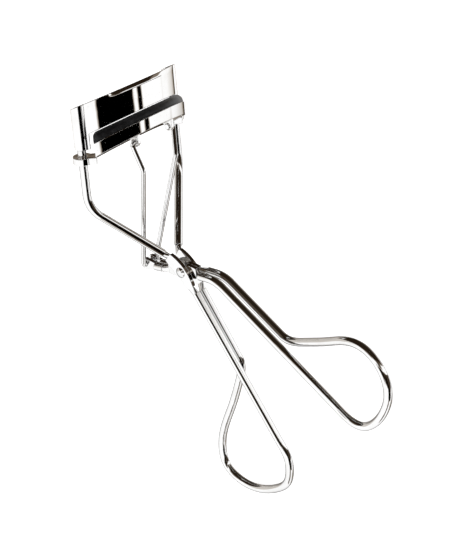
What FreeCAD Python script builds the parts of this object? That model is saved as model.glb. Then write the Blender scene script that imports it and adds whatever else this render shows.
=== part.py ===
"""Eyelash curler: scissor-handled wire frame, curved jaws and two link rods.

Working frame used below, in millimetres: the pivot's axis is X with its centre at the
origin, Z runs up the two rails towards the jaws, and -Y is the side that the finger
loops lean to. rest_placement() at the end lays the finished tool on its side, as it
rests on a table, with the centre of its footprint at the origin.
"""
import math
import os

import FreeCAD, Part

Vector = FreeCAD.Vector

# ---- driving dimensions ----------------------------------------------------------
WIRE_R = 1.0                 # frame and lever wires
ROD_R = 0.6                  # thin link rods
RAIL_X = 15.5                # rails, each side of the middle plane
RAIL_Y = 14.35
RAIL_TOP = 42.4
SHOULDER_Z = 18.1            # where a rail turns in towards the pivot
SHOULDER_R = 7.5

FLAT_T = 1.0                 # thickness of the flattened stretches of wire at the pivot
FLAT_END = 1.25              # half width of a flat where it runs back into round wire
FLAT_MID = 1.7               # half width of a flat round the rivet hole
FRAME_FLAT_X = 1.66          # the frame's flats lie outside the lever's
LEVER_FLAT_X = 0.58
RIVET_R = 0.8
RIVET_HEAD_R = 1.3
RIVET_HEAD_H = 0.6
RUNNING_GAP = 0.06           # radial play of a bore that turns or slides on its pin

FRAME_NECK = (3.7, 3.0)      # Y, Z of the flat's upper end on the frame
FRAME_HEEL = (-2.5, -3.5)    # and of its lower end
LEVER_NOSE = (4.65, -0.8)    # the same two ends on the lever
LEVER_HEEL = (-3.9, 0.2)
FLAT_TAPER = 1.7             # length over which a flat turns into round wire
TAPER_STEP = 0.10            # how much slimmer that stretch is than what it joins
TAPER_SINK = 0.15            # how far it runs on into each of them

FRAME_WIRE_X = 1.1           # the frame's two handle wires run side by side
LEVER_WIRE_X = 1.55
FRAME_HANDLE_ANGLE = 35.9    # from straight down, leaning to -Y
LEVER_HANDLE_ANGLE = 56.8
LEVER_START_RISE = 0.1       # lever's wires leave the pivot this much above its heel
LEVER_BEND = (8.5, 6.0)      # along and out from the handle's line, as for a loop
LEVER_BEND_R = 8.0

# Finger loops: distance along the handle from the pivot, and out from its line.
FRAME_LOOP = [(45.0, 1.0), (49.6, 1.5), (53.0, 3.5), (55.6, 7.0), (55.9, 11.5), (54.4, 17.3),
              (50.6, 22.2), (45.6, 24.1), (40.7, 21.8), (33.7, 11.9), (29.0, 4.9), (24.0, 0.9)]
LEVER_LOOP = [(49.0, 5.5), (53.4, 5.4), (56.5, 6.7), (58.1, 9.8), (58.3, 14.0), (56.9, 18.4),
              (53.9, 21.4), (50.0, 22.9), (46.2, 22.8), (42.5, 20.9), (38.4, 16.0), (33.8, 10.2),
              (31.2, 7.3), (28.2, 5.85)]

TIP_X = 1.06                 # lever's two front arms
TIP_Y = 11.9                 # eye at their ends, which the rods hook into
TIP_Z = -1.0
TIP_EYE_R = 1.45
TIP_FLAT_T = 0.9             # flattened again, from TIP_FLAT_Y out to the eye
TIP_FLAT_Y = 8.8

ROD_X_FOOT = 2.2
ROD_KINK = (5.5, 5.45, 25.8)
ROD_TOP = (7.0, 6.85, 32.7)
ROD_KINK_R = 3.0
ROD_HOOK_R = 0.9
ROD_HOOK_IN = 2.1            # how far each hooked end reaches in through its eye

JAW_R = 19.0                 # plan radius of both jaws
JAW_CENTRE_Y = RAIL_Y + math.sqrt(JAW_R ** 2 - RAIL_X ** 2)
PLATE_T = 0.8
PLATE_END_ANGLE = 53.0       # the plate runs into its rolled ends here
EAR_ANGLE = 48.2             # beyond this the plate reaches down as an ear
EAR_BOTTOM = 32.8
ROLL_R = 1.7
ROLL_X = 15.1
ROLL_Y = 14.55

PAD_W = 3.0                  # inside the trough
PAD_CROWN_W = 4.1            # above it, where the pad lies over the trough's walls
PAD_CROWN_R = 1.5            # rounding along the crown's top
PAD_END_ANGLE = 39.8         # each end is rounded beyond this
PAD_GAP = 0.15               # between the closed jaws
PAD_FIT = 0.05               # left round the pad inside its trough
CHANNEL_WALL = 0.7
CHANNEL_FLOOR = 0.6
CHANNEL_END_ANGLE = 45.3
LUG_R = 2.2
BRIDGE_ANGLE = 44.7          # a strip joins the trough's floor to each lug
BRIDGE_END_ANGLE = 52.2
BRIDGE_W = 3.0
LUG_BOTTOM = 29.5
LUG_TOP = 31.1
TAB_X = 5.6
TAB_T = 0.8
TAB_W = 2.4
TAB_SINK = 0.3               # how far a tab runs up into the trough's floor
SLOT_PLAY = 0.3              # play of the rods' upper hooks in the channel's tabs

# The jaws rise towards their middle. Each edge lies in a plane that slopes up to -Y:
# height at Y = 6 and rise per millimetre.
PLATE_TOP = (46.8, 0.46)
PLATE_BITE = (40.0, 0.54)
CHANNEL_LIP = (37.4, 0.58)
CHANNEL_BASE = (34.4, 0.64)
SLOPE_Y = 6.0

REST_LEAN_Y = 0.1455         # slopes of the table's plane, as Y and Z shares of X
REST_LEAN_Z = 0.1413

ALMOST = 0.999               # keeps an ellipse's two radii apart
TALL = 60.0                  # bigger than anything in the tool, for cutting solids
SAME_PLACE = 0.001
ACROSS = 5.0                 # further out along X than anything at the pivot


# ---- helpers ---------------------------------------------------------------------
def slope_height(plane, y):
    """Height at depth y of one of the jaws' sloping edge planes."""
    height, rise = plane
    return height - rise * (y - SLOPE_Y)


def mirrored(shape):
    """The same shape on the other side of the middle plane."""
    return shape.mirror(Vector(0, 0, 0), Vector(1, 0, 0))


def joined(shapes):
    """One clean solid from pieces that overlap."""
    return shapes[0].multiFuse(shapes[1:]).removeSplitter()


def rounded_path(points, radii):
    """Straight stretches through points, with each inner corner rounded."""
    edges = []
    last = points[0]
    for corner, radius, after in zip(points[1:-1], radii, points[2:]):
        back = (last - corner).normalize()
        ahead = (after - corner).normalize()
        half = back.getAngle(ahead) / 2
        reach = radius / math.tan(half)
        middle = (back + ahead).normalize() * (radius / math.sin(half) - radius)
        start = corner + back * reach
        end = corner + ahead * reach
        edges.append(Part.makeLine(last, start))
        edges.append(Part.Arc(start, corner + middle, end).toShape())
        last = end
    edges.append(Part.makeLine(last, points[-1]))
    return edges


def round_bar(edges, radius):
    """Round wire that follows a smooth run of edges."""
    path = Part.Wire(edges)
    first = edges[0]
    start = first.valueAt(first.FirstParameter)
    heading = first.tangentAt(first.FirstParameter)
    ring = Part.Wire([Part.makeCircle(radius, start, heading)])
    return path.makePipeShell([ring], True, False)


def oval(centre, side, side_r, up, up_r):
    """Closed oval outline with its two half widths along side and up."""
    if side_r > up_r:
        curve = Part.Ellipse(centre + side * side_r, centre + up * up_r, centre)
    else:
        curve = Part.Ellipse(centre + up * up_r, centre + side * side_r, centre)
    return Part.Wire([curve.toShape()])


def taper(flat_end, flat_half, round_end, wire_dir):
    """Short stretch where round wire has been squeezed into a flat.

    It is a little slimmer than both and sinks into each, so it leaves a small step.
    wire_dir points along the round wire, away from the flat.
    """
    side = Vector(1, 0, 0)
    up = side.cross(wire_dir).normalize()
    slim = 1 - TAPER_STEP
    into_flat = (flat_end - round_end).normalize() * TAPER_SINK
    into_wire = wire_dir * TAPER_SINK
    squeezed = oval(flat_end + into_flat, up, flat_half * slim, side, FLAT_T / 2 * slim)
    whole = oval(round_end + into_wire, up, WIRE_R * slim, side, WIRE_R * slim * ALMOST)
    return Part.makeLoft([squeezed, whole], True, True)


def flat_leaf(start, end, x):
    """Flattened wire in a plane of constant X, widest at the pivot in its middle."""
    corners = []
    for near, sign in ((start, 1), (end, -1)):
        along = Vector(0, -near[0], -near[1]).normalize() * sign
        corners.append((Vector(0, near[0], near[1]), along))
    (first, dir1), (last, dir2) = corners
    side1 = Vector(1, 0, 0).cross(dir1)
    side2 = Vector(1, 0, 0).cross(dir2)
    side = (side1 + side2).normalize()
    base = Vector(x - FLAT_T / 2, 0, 0)
    a1 = base + first + side1 * FLAT_END
    a2 = base + last + side2 * FLAT_END
    b1 = base + first - side1 * FLAT_END
    b2 = base + last - side2 * FLAT_END
    outline = Part.Wire([
        Part.Arc(a1, base + side * FLAT_MID, a2).toShape(),
        Part.makeLine(a2, b2),
        Part.Arc(b2, base - side * FLAT_MID, b1).toShape(),
        Part.makeLine(b1, a1),
    ])
    return Part.Face(outline).extrude(Vector(FLAT_T, 0, 0))


def bore(radius, x_from, x_to, y=0.0, z=0.0):
    """Cylinder along X, as a hole or a pin."""
    return Part.makeCylinder(radius, x_to - x_from, Vector(x_from, y, z), Vector(1, 0, 0))


def handle_point(angle, lean, along, out, x):
    """Point on a handle: distance along it from the pivot and out to its loop's side."""
    a = math.radians(angle)
    y = -math.sin(a) * along + lean * math.cos(a) * out
    z = -math.cos(a) * along - lean * math.sin(a) * out
    return Vector(x, y, z)


def finger_loop(angle, lean, wire_x, approach, shape):
    """Edges of one handle: down one wire, round the finger loop and back up the other.

    shape lists (along, out) places round the loop; the wire drifts evenly from
    -wire_x to +wire_x on the way. approach gives the edges that lead in.
    """
    count = len(shape) - 1
    places = []
    for index, (along, out) in enumerate(shape):
        drift = wire_x * (2.0 * index / count - 1.0)
        places.append(handle_point(angle, lean, along, out, drift))
    lead_in = approach(-wire_x, places[0])
    lead_back = approach(-wire_x, mirror_point(places[-1]))
    entry = lead_in[-1].tangentAt(lead_in[-1].LastParameter)
    leaving = lead_back[-1].tangentAt(lead_back[-1].LastParameter) * -1
    curve = Part.BSplineCurve()
    curve.interpolate(Points=places, InitialTangent=entry, FinalTangent=leaving, Scale=False)
    return lead_in + [curve.toShape()] + [mirrored(edge) for edge in lead_back[::-1]]


def mirror_point(point):
    """A point carried to the other side of the middle plane."""
    return Vector(-point.x, point.y, point.z)


def ring_sector(inner, outer, from_angle, to_angle):
    """Tall part of a ring round the jaws' axis, angles from the middle plane."""
    centre = Vector(0, JAW_CENTRE_Y, 0)
    sweep = to_angle - from_angle
    ring = Part.makeCylinder(outer, TALL, centre, Vector(0, 0, 1), sweep)
    ring = ring.cut(Part.makeCylinder(inner, TALL, centre, Vector(0, 0, 1)))
    ring.rotate(centre, Vector(0, 0, 1), from_angle - 90)
    return ring


def between(lower, upper):
    """Everything between two of the jaws' sloping planes."""
    y0, y1 = -TALL, TALL
    corners = [
        Vector(-TALL, y0, slope_height(lower, y0)),
        Vector(-TALL, y1, slope_height(lower, y1)),
        Vector(-TALL, y1, slope_height(upper, y1)),
        Vector(-TALL, y0, slope_height(upper, y0)),
    ]
    return Part.Face(Part.makePolygon(corners + corners[:1])).extrude(Vector(2 * TALL, 0, 0))


def raised(plane, by):
    """The same sloping plane, higher by a distance."""
    return (plane[0] + by, plane[1])


# ---- frame wire and lever wire -----------------------------------------------------
def frame_side():
    """Right rail, shoulder and slanting stretch down to the flat."""
    neck = Vector(FRAME_FLAT_X, *FRAME_NECK)
    shoulder = Vector(RAIL_X, RAIL_Y, SHOULDER_Z)
    inward = (neck - shoulder).normalize()
    round_end = neck - inward * FLAT_TAPER
    path = rounded_path([Vector(RAIL_X, RAIL_Y, RAIL_TOP), shoulder, round_end], [SHOULDER_R])
    bar = round_bar(path, WIRE_R)
    return [bar, taper(neck, FLAT_END, round_end, inward * -1)]


def frame_lead_in(x, target):
    """Straight handle wire from just below the frame's flat."""
    return [Part.makeLine(frame_wire_start(x), target)]


def frame_wire_start(x):
    """Where the frame's handle wires are round again."""
    heel = Vector(0, *FRAME_HEEL)
    reach = heel.Length + FLAT_TAPER
    return handle_point(FRAME_HANDLE_ANGLE, 1, reach, 0.0, x)


def frame_wire():
    """The fixed half: both rails, both flats and the fixed finger loop, one bent wire."""
    side = frame_side()
    leaf = flat_leaf(FRAME_NECK, FRAME_HEEL, FRAME_FLAT_X)
    heel = Vector(FRAME_FLAT_X, *FRAME_HEEL)
    start = frame_wire_start(FRAME_WIRE_X)
    heel_taper = taper(heel, FLAT_END, start, handle_point(FRAME_HANDLE_ANGLE, 1, 1, 0, 0))
    right = side + [leaf, heel_taper]
    path = finger_loop(FRAME_HANDLE_ANGLE, 1, FRAME_WIRE_X, frame_lead_in, FRAME_LOOP)
    handle = round_bar(path, WIRE_R)
    whole = joined([handle] + right + [mirrored(piece) for piece in right])
    return whole.cut(bore(RIVET_R, -ACROSS, ACROSS))


def lever_wire_start(x):
    """Where the lever's handle wires are round again."""
    return Vector(x, LEVER_HEEL[0] - FLAT_TAPER, LEVER_HEEL[1] + LEVER_START_RISE)


def lever_lead_in(x, target):
    """Handle wire that leaves the pivot level, then bends down to the loop."""
    bend = handle_point(LEVER_HANDLE_ANGLE, -1, *LEVER_BEND, x)
    return rounded_path([lever_wire_start(x), bend, target], [LEVER_BEND_R])


def lever_wire():
    """The moving half: both front arms with their eyes, both flats and its finger loop."""
    leaf = flat_leaf(LEVER_NOSE, LEVER_HEEL, LEVER_FLAT_X)
    heel = Vector(LEVER_FLAT_X, *LEVER_HEEL)
    start = lever_wire_start(LEVER_WIRE_X)
    heel_taper = taper(heel, FLAT_END, start, Vector(0, -1, 0))
    nose = Vector(LEVER_FLAT_X, *LEVER_NOSE)
    arm_start = Vector(TIP_X, LEVER_NOSE[0] + FLAT_TAPER, LEVER_NOSE[1])
    arm_end = Vector(TIP_X, TIP_FLAT_Y, TIP_Z)
    nose_taper = taper(nose, FLAT_END, arm_start, Vector(0, 1, 0))
    arm = round_bar([Part.makeLine(arm_start, arm_end)], WIRE_R)
    disc = bore(TIP_EYE_R, TIP_X - TIP_FLAT_T / 2, TIP_X + TIP_FLAT_T / 2, TIP_Y, TIP_Z)
    right = [leaf, heel_taper, nose_taper, arm, tip_flat(), disc]
    path = finger_loop(LEVER_HANDLE_ANGLE, -1, LEVER_WIRE_X, lever_lead_in, LEVER_LOOP)
    handle = round_bar(path, WIRE_R)
    whole = joined([handle] + right + [mirrored(piece) for piece in right])
    whole = whole.cut(bore(RIVET_R + RUNNING_GAP, -ACROSS, ACROSS))
    return whole.cut(bore(ROD_R + RUNNING_GAP, -ACROSS, ACROSS, TIP_Y, TIP_Z))


def tip_flat():
    """Flattened end of a front arm, widening towards its eye."""
    left = TIP_X - TIP_FLAT_T / 2
    narrow = WIRE_R * (1 - TAPER_STEP)
    start = TIP_FLAT_Y - TAPER_SINK
    wide = TIP_EYE_R * ALMOST
    corners = [
        Vector(left, start, TIP_Z - narrow),
        Vector(left, TIP_Y, TIP_Z - wide),
        Vector(left, TIP_Y, TIP_Z + wide),
        Vector(left, start, TIP_Z + narrow),
    ]
    return Part.Face(Part.makePolygon(corners + corners[:1])).extrude(Vector(TIP_FLAT_T, 0, 0))


def pivot_rivet():
    """Rivet through all four flats, with a domed head each side."""
    face = FRAME_FLAT_X + FLAT_T / 2
    shank = bore(RIVET_R, -face, face)
    dome_r = (RIVET_HEAD_R ** 2 + RIVET_HEAD_H ** 2) / (2 * RIVET_HEAD_H)
    ball = Part.makeSphere(dome_r, Vector(face + RIVET_HEAD_H - dome_r, 0, 0))
    head = ball.common(bore(RIVET_HEAD_R, face, face + 2 * RIVET_HEAD_H))
    return joined([shank, head, mirrored(head)])


# ---- jaws ------------------------------------------------------------------------
def upper_jaw_plate():
    """Curved sheet whose ends are rolled round the tops of the rails."""
    inner = JAW_R - PLATE_T / 2
    outer = JAW_R + PLATE_T / 2
    sheet = ring_sector(inner, outer, -PLATE_END_ANGLE, PLATE_END_ANGLE)
    sheet = sheet.common(between(PLATE_BITE, PLATE_TOP))
    ear = ring_sector(inner, outer, EAR_ANGLE, PLATE_END_ANGLE)
    roll = Part.makeCylinder(ROLL_R, TALL, Vector(ROLL_X, ROLL_Y, 0))
    end = joined([ear, roll]).common(between((-TALL, PLATE_TOP[1]), PLATE_TOP))
    end = end.cut(Part.makeBox(2 * TALL, 2 * TALL, TALL, Vector(-TALL, -TALL, EAR_BOTTOM - TALL)))
    whole = joined([sheet, end, mirrored(end)])
    for x in (-RAIL_X, RAIL_X):
        whole = whole.cut(Part.makeCylinder(WIRE_R, TALL, Vector(x, RAIL_Y, 0)))
    return whole


def lower_jaw_channel():
    """Trough that carries the pad, with a lug on each rail and two tabs for the rods."""
    outer_w = PAD_W / 2 + CHANNEL_WALL
    block = ring_sector(JAW_R - outer_w, JAW_R + outer_w, -CHANNEL_END_ANGLE, CHANNEL_END_ANGLE)
    trough = block.common(between(CHANNEL_BASE, CHANNEL_LIP))
    hollow = ring_sector(JAW_R - PAD_W / 2, JAW_R + PAD_W / 2, -PLATE_END_ANGLE, PLATE_END_ANGLE)
    above = between(raised(CHANNEL_BASE, CHANNEL_FLOOR), raised(CHANNEL_LIP, PAD_W))
    trough = trough.cut(hollow.common(above))
    lug = Part.makeCylinder(LUG_R, LUG_TOP - LUG_BOTTOM, Vector(RAIL_X, RAIL_Y, LUG_BOTTOM))
    right = [lug_bridge(), lug, rod_tab()]
    whole = joined([trough] + right + [mirrored(piece) for piece in right])
    for x in (-RAIL_X, RAIL_X):
        whole = whole.cut(Part.makeCylinder(WIRE_R + RUNNING_GAP, TALL, Vector(x, RAIL_Y, 0)))
    return whole


def lug_bridge():
    """Strip that carries the trough's floor out to a lug."""
    half = BRIDGE_W / 2
    strip = ring_sector(JAW_R - half, JAW_R + half, BRIDGE_ANGLE, BRIDGE_END_ANGLE)
    corner = Vector(-TALL, -TALL, LUG_BOTTOM)
    return strip.common(Part.makeBox(2 * TALL, 2 * TALL, LUG_TOP - LUG_BOTTOM, corner))


def rod_tab():
    """Tab under the trough with the slot that a link rod's upper hook sits in."""
    y, z = ROD_TOP[1:]
    left = TAB_X - TAB_T / 2
    body = Part.makeBox(TAB_T, TAB_W, TALL, Vector(left, y - TAB_W / 2, z))
    body = body.common(between((0, 0), raised(CHANNEL_BASE, TAB_SINK)))
    foot = bore(TAB_W / 2, left, left + TAB_T, y, z)
    slot = bore(ROD_R + SLOT_PLAY, left - TAB_T, left + 2 * TAB_T, y, z)
    return joined([body, foot]).cut(slot)


def lies_in(edge, plane):
    """Whether all of an edge lies in one of the jaws' sloping planes."""
    middle = edge.valueAt((edge.FirstParameter + edge.LastParameter) / 2)
    places = [vertex.Point for vertex in edge.Vertexes] + [middle]
    return all(abs(place.z - slope_height(plane, place.y)) < SAME_PLACE for place in places)


def pad_block(half):
    """Tall curved bar with rounded ends, as wide as twice half."""
    strip = ring_sector(JAW_R - half, JAW_R + half, -PAD_END_ANGLE, PAD_END_ANGLE)
    turn = math.radians(PAD_END_ANGLE)
    end_x = JAW_R * math.sin(turn)
    end_y = JAW_CENTRE_Y - JAW_R * math.cos(turn)
    end = Part.makeCylinder(half, TALL, Vector(end_x, end_y, 0))
    return joined([strip, end, mirrored(end)])


def rubber_pad():
    """Soft pad: a root that fills the trough, and a wider crown that meets the plate's edge."""
    top = raised(PLATE_BITE, -PAD_GAP)
    root = pad_block(PAD_W / 2 - PAD_FIT)
    base = raised(CHANNEL_BASE, CHANNEL_FLOOR + PAD_FIT)
    root = root.common(between(base, raised(CHANNEL_LIP, PAD_FIT + PAD_GAP)))
    crown = pad_block(PAD_CROWN_W / 2)
    crown = crown.common(between(raised(CHANNEL_LIP, PAD_FIT), top))
    rim = [edge for edge in crown.Edges if lies_in(edge, top)]
    crown = crown.makeFillet(PAD_CROWN_R, rim)
    return joined([root, crown])


def link_rod():
    """Right-hand rod from the lever's eye up to the channel's tab, hooked at both ends."""
    foot = Vector(ROD_X_FOOT, TIP_Y, TIP_Z)
    top = Vector(*ROD_TOP)
    inward = Vector(-ROD_HOOK_IN, 0, 0)
    points = [foot + inward, foot, Vector(*ROD_KINK), top, top + inward]
    return round_bar(rounded_path(points, [ROD_HOOK_R, ROD_KINK_R, ROD_HOOK_R]), ROD_R)


# ---- placing the tool on the table -------------------------------------------------
def rest_placement(shapes):
    """Lays the tool on its right-hand side, on a shoulder and both finger loops.

    The head points to +Y, the loops lean to +X and the footprint's centre is the origin.
    """
    down = Vector(1, -REST_LEAN_Y, -REST_LEAN_Z).normalize()
    up = down * -1
    head = Vector(0, 0, 1)
    head = (head - up * head.dot(up)).normalize()
    turn = FreeCAD.Rotation(head.cross(up), head, up, "ZYX").inverted()
    turned = Part.makeCompound(shapes)
    turned.Placement = FreeCAD.Placement(Vector(0, 0, 0), turn)
    box = turned.optimalBoundingBox(False, False)
    return FreeCAD.Placement(Vector(-box.Center.x, -box.Center.y, -box.ZMin), turn)


def build():
    """Every piece by its node's name, in the working frame."""
    rod = link_rod()
    return {
        "frame_wire": frame_wire(),
        "upper_jaw_plate": upper_jaw_plate(),
        "pivot_rivet": pivot_rivet(),
        "lever_wire": lever_wire(),
        "lower_jaw_channel": lower_jaw_channel(),
        "rubber_pad": rubber_pad(),
        "right_link_rod": rod,
        "left_link_rod": mirrored(rod),
    }


def main():
    """Write one STEP file for each piece."""
    os.makedirs("parts", exist_ok=True)
    pieces = build()
    placement = rest_placement(list(pieces.values()))
    for name, shape in pieces.items():
        shape.Placement = placement.multiply(shape.Placement)
        shape.exportStep("parts/" + name + ".step")


main()
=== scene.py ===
import math

import bpy
from mathutils import Matrix, Vector

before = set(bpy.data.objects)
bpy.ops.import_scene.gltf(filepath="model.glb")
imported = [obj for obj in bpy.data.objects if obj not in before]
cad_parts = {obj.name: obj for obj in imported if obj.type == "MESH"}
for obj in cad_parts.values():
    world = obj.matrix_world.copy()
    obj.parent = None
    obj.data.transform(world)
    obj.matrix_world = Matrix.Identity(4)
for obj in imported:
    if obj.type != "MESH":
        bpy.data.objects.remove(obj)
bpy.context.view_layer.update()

MM = 0.001
WHITE = (1, 1, 1, 1)
EDGE_RAYS = 6


# ---- node helpers --------------------------------------------------------------------
def new_material(name):
    """Empty node material with a Principled shader wired to its output."""
    material = bpy.data.materials.new(name)
    material.use_nodes = True
    tree = material.node_tree
    tree.nodes.clear()
    output = tree.nodes.new("ShaderNodeOutputMaterial")
    shader = tree.nodes.new("ShaderNodeBsdfPrincipled")
    tree.links.new(shader.outputs["BSDF"], output.inputs["Surface"])
    return material, tree, shader


def feed(tree, socket, value):
    """Give an input either a link from another socket or a fixed value."""
    if isinstance(value, bpy.types.NodeSocket):
        tree.links.new(value, socket)
    else:
        socket.default_value = value


def coordinates(tree, stretch=(1, 1, 1), turn=(0, 0, 0)):
    """Object coordinates in millimetres, optionally scaled and turned."""
    place = tree.nodes.new("ShaderNodeTexCoord")
    mapping = tree.nodes.new("ShaderNodeMapping")
    mapping.inputs["Scale"].default_value = [factor / MM for factor in stretch]
    mapping.inputs["Rotation"].default_value = turn
    tree.links.new(place.outputs["Object"], mapping.inputs["Vector"])
    return mapping.outputs["Vector"]


def components(tree, vector):
    """The X, Y and Z outputs of a vector."""
    split = tree.nodes.new("ShaderNodeSeparateXYZ")
    tree.links.new(vector, split.inputs["Vector"])
    return split.outputs


def noise(tree, vector, pattern):
    """Noise value; pattern is (features per unit of the vector, detail, roughness)."""
    node = tree.nodes.new("ShaderNodeTexNoise")
    for name, value in zip(("Scale", "Detail", "Roughness"), pattern):
        node.inputs[name].default_value = value
    tree.links.new(vector, node.inputs["Vector"])
    return node.outputs["Fac"]


def spread(tree, value, low, high, to_low=0.0, to_high=1.0):
    """Value mapped from one range to another, clamped."""
    node = tree.nodes.new("ShaderNodeMapRange")
    node.inputs["From Min"].default_value = low
    node.inputs["From Max"].default_value = high
    node.inputs["To Min"].default_value = to_low
    node.inputs["To Max"].default_value = to_high
    tree.links.new(value, node.inputs["Value"])
    return node.outputs["Result"]


def math_node(tree, operation, *values):
    """Math node whose inputs are sockets or numbers."""
    node = tree.nodes.new("ShaderNodeMath")
    node.operation = operation
    for index, value in enumerate(values):
        feed(tree, node.inputs[index], value)
    return node.outputs["Value"]


def blend_colour(tree, factor, low, high):
    """Colour between two, each of them a socket or RGBA values."""
    node = tree.nodes.new("ShaderNodeMix")
    node.data_type = "RGBA"
    feed(tree, node.inputs["A"], low)
    feed(tree, node.inputs["B"], high)
    tree.links.new(factor, node.inputs["Factor"])
    return node.outputs["Result"]


def bump(tree, height, strength, distance, normal):
    """Bump on top of a normal; distance is in millimetres."""
    node = tree.nodes.new("ShaderNodeBump")
    node.inputs["Strength"].default_value = strength
    node.inputs["Distance"].default_value = distance * MM
    tree.links.new(height, node.inputs["Height"])
    tree.links.new(normal, node.inputs["Normal"])
    return node.outputs["Normal"]


def rounded_edges(tree, radius):
    """Normal that softens every sharp edge by a radius in millimetres."""
    node = tree.nodes.new("ShaderNodeBevel")
    node.samples = EDGE_RAYS
    node.inputs["Radius"].default_value = radius * MM
    return node.outputs["Normal"]


# ---- plating -------------------------------------------------------------------------
# Patterns are (features per millimetre, detail, roughness).
HAZE = (0.16, 6.0, 0.6)
SMUDGES = (0.7, 8.0, 0.65)
SCRATCHES = (3.0, 3.0, 0.5)
PITS = (5.0, 2.0, 0.4)
SWELL = (0.35, 1.0, 0.4)

# Ranges of a pattern's value over which its mark goes from none to full.
HAZE_RANGE = (0.35, 0.7)
SMUDGE_RANGE = (0.45, 0.75)
SCRATCH_RANGE = (0.55, 0.8)
PIT_RANGE = (0.73, 0.8)

# What each kind of wear adds to the roughness.
SMUDGE_ROUGHNESS = 0.05
SCRATCH_ROUGHNESS = 0.04
PIT_ROUGHNESS = 0.3

# Colours are RGBA, and tints are shares of the piece's own tone or rim.
PIT_COLOUR = (0.28, 0.27, 0.26, 1)
PIT_COVER = 0.5
BRIGHT_TINT = (1.0, 1.0, 1.005)
DULL_TINT = (0.93, 0.925, 0.915)
RIM_TINT = (1.0, 0.97, 0.93)

# Turns of the patterns in radians, for a seed of 1.
SEED_TURN = (1.0, 0.4, 0.7)
SCRATCH_TURN = (0.1, 0, 0)

# Bumps are (strength, height in millimetres).
SCRATCH_BUMP = (0.25, 0.002)
PIT_BUMP = (0.5, -0.01)
FULL_STRENGTH = 1.0

# Above 1, the sheet stays flat for longer before it rolls over.
LIP_CURVE = 1.5


def scaled(values, factor):
    """Every value times the factor."""
    return [value * factor for value in values]


def rolled_lip(tree, vector, facing, limit, width, drop, fade_in, fade_out):
    """Height that falls away towards an edge, like sheet metal rolled over at its lip.

    The edge lies where the distance along facing reaches limit. The roll is width wide and drop
    deep. Going up in Z, it appears over the range fade_in and dies out over fade_out.
    """
    reach = tree.nodes.new("ShaderNodeVectorMath")
    reach.operation = "DOT_PRODUCT"
    reach.inputs[1].default_value = facing
    tree.links.new(vector, reach.inputs[0])
    near = spread(tree, reach.outputs["Value"], limit - width, limit)
    along = components(tree, vector)["Z"]
    appears = spread(tree, along, *fade_in)
    dies_out = spread(tree, along, *fade_out, 1.0, 0.0)
    share = math_node(tree, "MULTIPLY", appears, dies_out)
    roll = math_node(tree, "MULTIPLY", math_node(tree, "POWER", near, LIP_CURVE), share)
    return math_node(tree, "MULTIPLY", roll, -drop)


def chrome(name, seed, tone=0.92, polish=0.02, edge=0.12, ripple=0.012,
           grain=(1, 1, 1), rim=0.05, lip=None):
    """Bright plating: faint ripple, hairline scratches, handling haze and tiny pits.

    seed turns the patterns, so that no two pieces are marked alike. tone is the metal's
    brightness, and polish is its roughness where it is clean. edge is the radius of the edges and
    ripple the height of the swell, both in millimetres. A small number in grain draws the
    scratches out along that axis. rim is how bright the metal stays where it is seen edge on.
    lip holds the arguments of rolled_lip, if the piece has one.
    """
    material, tree, shader = new_material(name)
    shader.inputs["Metallic"].default_value = 1.0
    shader.inputs["Specular Tint"].default_value = (*scaled(RIM_TINT, rim), 1)
    even = coordinates(tree, turn=scaled(SEED_TURN, seed))
    drawn = coordinates(tree, grain, scaled(SCRATCH_TURN, seed))
    scratches = noise(tree, drawn, SCRATCHES)
    pits = spread(tree, noise(tree, even, PITS), *PIT_RANGE)

    bright = (*scaled(BRIGHT_TINT, tone), 1)
    dull = (*scaled(DULL_TINT, tone), 1)
    worn = spread(tree, noise(tree, even, HAZE), *HAZE_RANGE)
    shade = blend_colour(tree, worn, bright, dull)
    pit_cover = math_node(tree, "MULTIPLY", pits, PIT_COVER)
    tree.links.new(blend_colour(tree, pit_cover, shade, PIT_COLOUR), shader.inputs["Base Color"])

    smudges = noise(tree, even, SMUDGES)
    film = spread(tree, smudges, *SMUDGE_RANGE, polish, polish + SMUDGE_ROUGHNESS)
    fine = spread(tree, scratches, *SCRATCH_RANGE, 0.0, SCRATCH_ROUGHNESS)
    coarse = math_node(tree, "MULTIPLY", pits, PIT_ROUGHNESS)
    roughness = math_node(tree, "ADD", math_node(tree, "ADD", film, fine), coarse)
    tree.links.new(roughness, shader.inputs["Roughness"])

    normal = rounded_edges(tree, edge)
    if lip is not None:
        # The lip's height is in millimetres already, so its bump is 1 mm deep per unit.
        height = rolled_lip(tree, coordinates(tree), **lip)
        normal = bump(tree, height, FULL_STRENGTH, 1.0, normal)
    normal = bump(tree, noise(tree, even, SWELL), FULL_STRENGTH, ripple, normal)
    normal = bump(tree, scratches, *SCRATCH_BUMP, normal)
    normal = bump(tree, pits, *PIT_BUMP, normal)
    tree.links.new(normal, shader.inputs["Normal"])
    return material


# ---- rubber and table top ------------------------------------------------------------
# The values below are of the same kinds as the plating's. The edge is a radius in millimetres.
RUBBER_GRAIN = (9.0, 4.0, 0.6)
RUBBER_DUST = (0.6, 8.0, 0.7)
RUBBED_SPOTS = (0.25, 4.0, 0.5)
DUST_RANGE = (0.5, 0.8)
SPOT_RANGE = (0.35, 0.7)
SPOT_ROUGHNESS = (0.34, 0.58)
SPOT_TURN = (1.0, 0.3, 0.6)
RUBBER_COLOUR = (0.006, 0.006, 0.007, 1)
DUSTY_COLOUR = (0.03, 0.03, 0.032, 1)
RUBBER_EDGE = 0.35
SPOT_BUMP = (0.6, 0.05)
GRAIN_BUMP = (0.35, 0.02)


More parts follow.
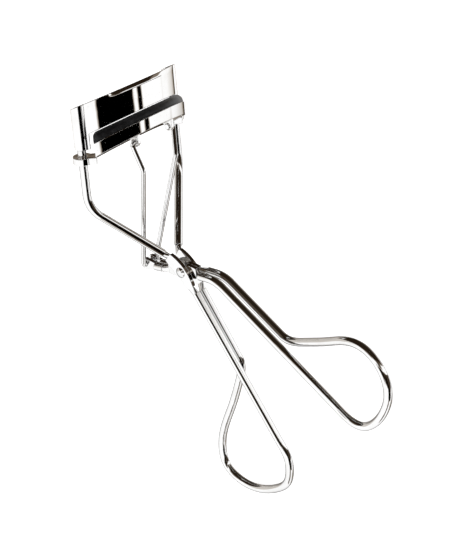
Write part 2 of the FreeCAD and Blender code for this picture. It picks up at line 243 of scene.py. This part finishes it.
def rubber(name):
    """Soft black pad: fine moulded grain, a dusty bloom and slightly shiny rubbed spots."""
    material, tree, shader = new_material(name)
    even = coordinates(tree)
    spots = noise(tree, coordinates(tree, turn=SPOT_TURN), RUBBED_SPOTS)
    bloom = spread(tree, noise(tree, even, RUBBER_DUST), *DUST_RANGE)
    colour = blend_colour(tree, bloom, RUBBER_COLOUR, DUSTY_COLOUR)
    tree.links.new(colour, shader.inputs["Base Color"])
    roughness = spread(tree, spots, *SPOT_RANGE, *SPOT_ROUGHNESS)
    tree.links.new(roughness, shader.inputs["Roughness"])
    shader.inputs["Specular IOR Level"].default_value = 0.22
    shader.inputs["Sheen Weight"].default_value = 0.2
    shader.inputs["Sheen Roughness"].default_value = 0.45
    normal = bump(tree, spots, *SPOT_BUMP, rounded_edges(tree, RUBBER_EDGE))
    normal = bump(tree, noise(tree, even, RUBBER_GRAIN), *GRAIN_BUMP, normal)
    tree.links.new(normal, shader.inputs["Normal"])
    return material


def floor_white(name):
    """Plain white table top that glows, so it stays pale under the tool."""
    material, _, shader = new_material(name)
    shader.inputs["Base Color"].default_value = (0.9, 0.9, 0.9, 1)
    shader.inputs["Roughness"].default_value = 0.9
    shader.inputs["Specular IOR Level"].default_value = 0.0
    shader.inputs["Emission Color"].default_value = WHITE
    shader.inputs["Emission Strength"].default_value = 0.8
    return material


# ---- materials on the pieces ---------------------------------------------------------
WIRE_GRAIN = (0.3, 0.3, 3.0)
SHEET_GRAIN = (1.0, 0.25, 0.25)

# The plate's top edge is the part of it that reaches furthest in this direction.
PLATE_FACING = Vector((-0.414, 0.891, 0.185))
plate_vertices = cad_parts["upper_jaw_plate"].data.vertices
plate_lip = {
    "facing": PLATE_FACING,
    "limit": max(PLATE_FACING.dot(vertex.co) for vertex in plate_vertices) / MM,
    "width": 1.1,
    "drop": 1.1,
    "fade_in": (8, 20),
    "fade_out": (27.5, 30),
}

MATERIALS = {
    "frame_wire": chrome("frame plating", 1.0, grain=WIRE_GRAIN),
    "lever_wire": chrome("lever plating", 2.3, grain=WIRE_GRAIN),
    "upper_jaw_plate": chrome(
        "polished plate", 3.1, tone=0.93, polish=0.012, edge=0.25,
        grain=SHEET_GRAIN, rim=0.8, lip=plate_lip),
    "lower_jaw_channel": chrome(
        "polished channel", 4.7, polish=0.014, edge=0.22, ripple=0.014,
        grain=SHEET_GRAIN, rim=0.7),
    "pivot_rivet": chrome("rivet plating", 5.2, tone=0.86, polish=0.06, edge=0.06),
    "left_link_rod": chrome("left rod plating", 6.1, tone=0.9, polish=0.035, edge=0.05),
    "right_link_rod": chrome("right rod plating", 7.4, tone=0.9, polish=0.035, edge=0.05),
    "rubber_pad": rubber("pad rubber"),
}
for node_name, material in MATERIALS.items():
    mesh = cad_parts[node_name].data
    mesh.materials.clear()
    mesh.materials.append(material)


# ---- table ---------------------------------------------------------------------------
TABLE_RADIUS = 1.5
TABLE_SIDES = 128

bpy.ops.mesh.primitive_circle_add(
    vertices=TABLE_SIDES, radius=TABLE_RADIUS, fill_type="NGON", location=(0, 0, 0))
table_top = bpy.context.object
table_top.name = "table_top"
table_top.data.materials.append(floor_white("white table"))
table_top.visible_glossy = False


# ---- studio light --------------------------------------------------------------------
# Each dark cloth is ((turn from, turn to, height from, height to), softness, depth). The angles
# are in degrees: turn goes round from +Y towards +X, and height goes up from level. Softness is
# half the width of the faded edge, in degrees, and depth is the share of the light that the
# cloth takes away. Where two cloths overlap, both take their share.
FLAGS = [
    ((74, 128, -6, 23), 1.5, 1.0),
    ((126, 168, 3, 22), 1.5, 0.95),
    ((97, 127, -24, 26), 1.2, 1.0),
    ((97, 122, -37, -30), 1.0, 1.0),
    ((66, 103, -76, 50), 1.5, 0.97),
    ((61, 101, 33, 80), 2.0, 0.99),
    ((99, 126, 60, 80), 2.0, 0.98),
    ((136, 178, -71, -30), 4.0, 0.8),
    ((-62, 42, -40, 60), 2.5, 0.99),
    ((-62, 42, -60, -38), 2.5, 0.85),
    ((40, 48, -44, 10), 2.0, 0.95),
    ((40, 60, 8, 50), 2.0, 0.95),
    ((-56, 30, 56, 82), 3.0, 0.92),
    ((-104, -60, -42, 60), 7.0, 0.45),
    ((-156, -62, -72, -10), 8.0, 0.25),
    ((-139, -94, -59, -19), 5.0, 0.95),
]

TENT_STRENGTH = 1.12
BACKDROP_STRENGTH = 1.0
# Each colour of the light is raised to its own power, so half light comes out a little warm.
TENT_POWERS = {"Red": 0.88, "Green": 0.98, "Blue": 1.1}


def soft_range(tree, value, low, high, soft):
    """1 between two angles in degrees with soft edges, 0 outside; value is in radians."""
    low, high, soft = (math.radians(angle) for angle in (low, high, soft))
    rise = spread(tree, value, low - soft, low + soft)
    fall = spread(tree, value, high - soft, high + soft, 1.0, 0.0)
    return math_node(tree, "MULTIPLY", rise, fall)


def flag(tree, turn, height, box, soft, depth):
    """Share of the light that one dark cloth lets through."""
    wide = soft_range(tree, turn, *box[:2], soft)
    tall = soft_range(tree, height, *box[2:], soft)
    cover = math_node(tree, "MULTIPLY", wide, tall)
    return math_node(tree, "SUBTRACT", 1.0, math_node(tree, "MULTIPLY", cover, depth))


def background(tree, strength):
    """World light of an even strength."""
    node = tree.nodes.new("ShaderNodeBackground")
    node.inputs["Strength"].default_value = strength
    return node


def studio():
    """White tent all round with a few dark cloths, and a plain white backdrop."""
    world = bpy.data.worlds.new("studio")
    bpy.context.scene.world = world
    world.use_nodes = True
    tree = world.node_tree
    tree.nodes.clear()
    place = tree.nodes.new("ShaderNodeTexCoord")
    direction = components(tree, place.outputs["Generated"])
    turn = math_node(tree, "ARCTAN2", direction["X"], direction["Y"])
    height = math_node(tree, "ARCSINE", direction["Z"])
    light = None
    for box, soft, depth in FLAGS:
        passed = flag(tree, turn, height, box, soft, depth)
        light = passed if light is None else math_node(tree, "MULTIPLY", light, passed)
    warm = tree.nodes.new("ShaderNodeCombineColor")
    for channel, power in TENT_POWERS.items():
        tree.links.new(math_node(tree, "POWER", light, power), warm.inputs[channel])
    tent = background(tree, TENT_STRENGTH)
    tree.links.new(warm.outputs["Color"], tent.inputs["Color"])
    backdrop = background(tree, BACKDROP_STRENGTH)
    path = tree.nodes.new("ShaderNodeLightPath")
    chosen = tree.nodes.new("ShaderNodeMixShader")
    tree.links.new(path.outputs["Is Camera Ray"], chosen.inputs["Fac"])
    tree.links.new(tent.outputs["Background"], chosen.inputs[1])
    tree.links.new(backdrop.outputs["Background"], chosen.inputs[2])
    output = tree.nodes.new("ShaderNodeOutputWorld")
    tree.links.new(chosen.outputs["Shader"], output.inputs["Surface"])


studio()

# ---- camera --------------------------------------------------------------------------
# Lens lengths are in millimetres, places and clipping distances in metres.
FOCAL_LENGTH = 114.744
SENSOR_WIDTH = 36.0
NEAREST, FURTHEST = 0.01, 10.0
CAMERA_PLACE = Matrix((
    (0.656713, -0.287918, 0.697016, 0.278308),
    (0.032155, 0.934102, 0.355556, 0.150468),
    (-0.753455, -0.211086, 0.622695, 0.264117),
    (0, 0, 0, 1),
))

camera_data = bpy.data.cameras.new("camera")
camera_data.lens = FOCAL_LENGTH
camera_data.sensor_width = SENSOR_WIDTH
camera_data.clip_start = NEAREST
camera_data.clip_end = FURTHEST
camera = bpy.data.objects.new("camera", camera_data)
bpy.context.scene.collection.objects.link(camera)
camera.matrix_world = CAMERA_PLACE
bpy.context.scene.camera = camera
bpy.context.scene.view_settings.view_transform = "Standard"
